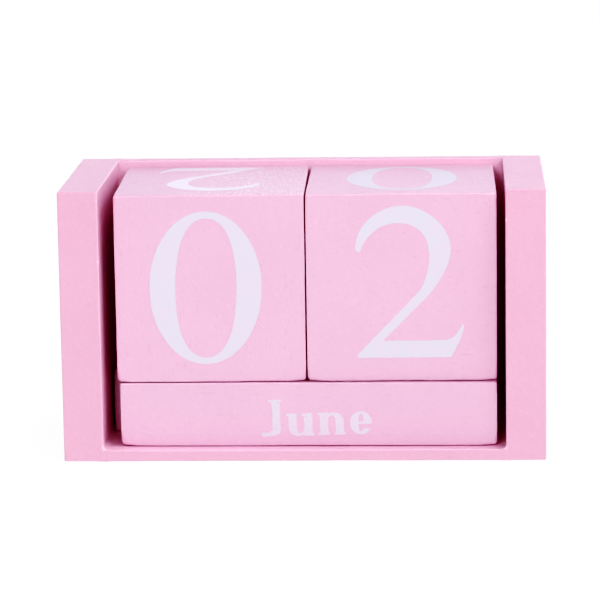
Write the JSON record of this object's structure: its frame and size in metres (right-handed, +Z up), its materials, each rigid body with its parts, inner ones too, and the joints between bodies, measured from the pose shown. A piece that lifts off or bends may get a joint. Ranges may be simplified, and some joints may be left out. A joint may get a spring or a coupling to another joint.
{
  "type": "block desk calendar",
  "caption": "Pink wooden desk calendar: a tray open to the front and top holds loose month bars under loose day cubes that are turned by hand.",
  "frame": {"origin": "centre of the tray's footprint, on the surface it stands on", "axes": "+X to the viewer's right along the tray, +Y from the open front to the back board, +Z up"},
  "size_m": [0.127, 0.06, 0.072],
  "materials": {
    "pink_paint": "satin pale pink paint over solid wood",
    "white_ink": "matte white printed ink",
    "pin_steel": "plain steel wire"
  },
  "bodies": {
    "tray": {"left_side_panel": "pink_paint", "right_side_panel": "pink_paint", "base_board": "pink_paint", "back_board": "pink_paint", "left_pins": "pin_steel", "right_pins": "pin_steel", "back_pins": "pin_steel"},
    "left_cube": {"left_cube": "pink_paint", "left_cube_print": "white_ink"},
    "right_cube": {"right_cube": "pink_paint", "right_cube_print": "white_ink"},
    "rear_bar": {"rear_bar": "pink_paint", "rear_bar_print": "white_ink"},
    "middle_bar": {"middle_bar": "pink_paint", "middle_bar_print": "white_ink"},
    "front_bar": {"front_bar": "pink_paint", "front_bar_print": "white_ink"}
  },
  "joints": [
    {"name": "left_cube_lift", "type": "slide", "parent": "tray", "child": "left_cube", "axis": [0, 0, 1], "range_m": [0, 0.06]},
    {"name": "right_cube_lift", "type": "slide", "parent": "tray", "child": "right_cube", "axis": [0, 0, 1], "range_m": [0, 0.06]},
    {"name": "rear_bar_slide", "type": "slide", "parent": "tray", "child": "rear_bar", "axis": [0, -1, 0], "range_m": [0, 0.06]},
    {"name": "middle_bar_slide", "type": "slide", "parent": "rear_bar", "child": "middle_bar", "axis": [0, -1, 0], "range_m": [0, 0.042]},
    {"name": "front_bar_slide", "type": "slide", "parent": "middle_bar", "child": "front_bar", "axis": [0, -1, 0], "range_m": [0, 0.025]}
  ]
}
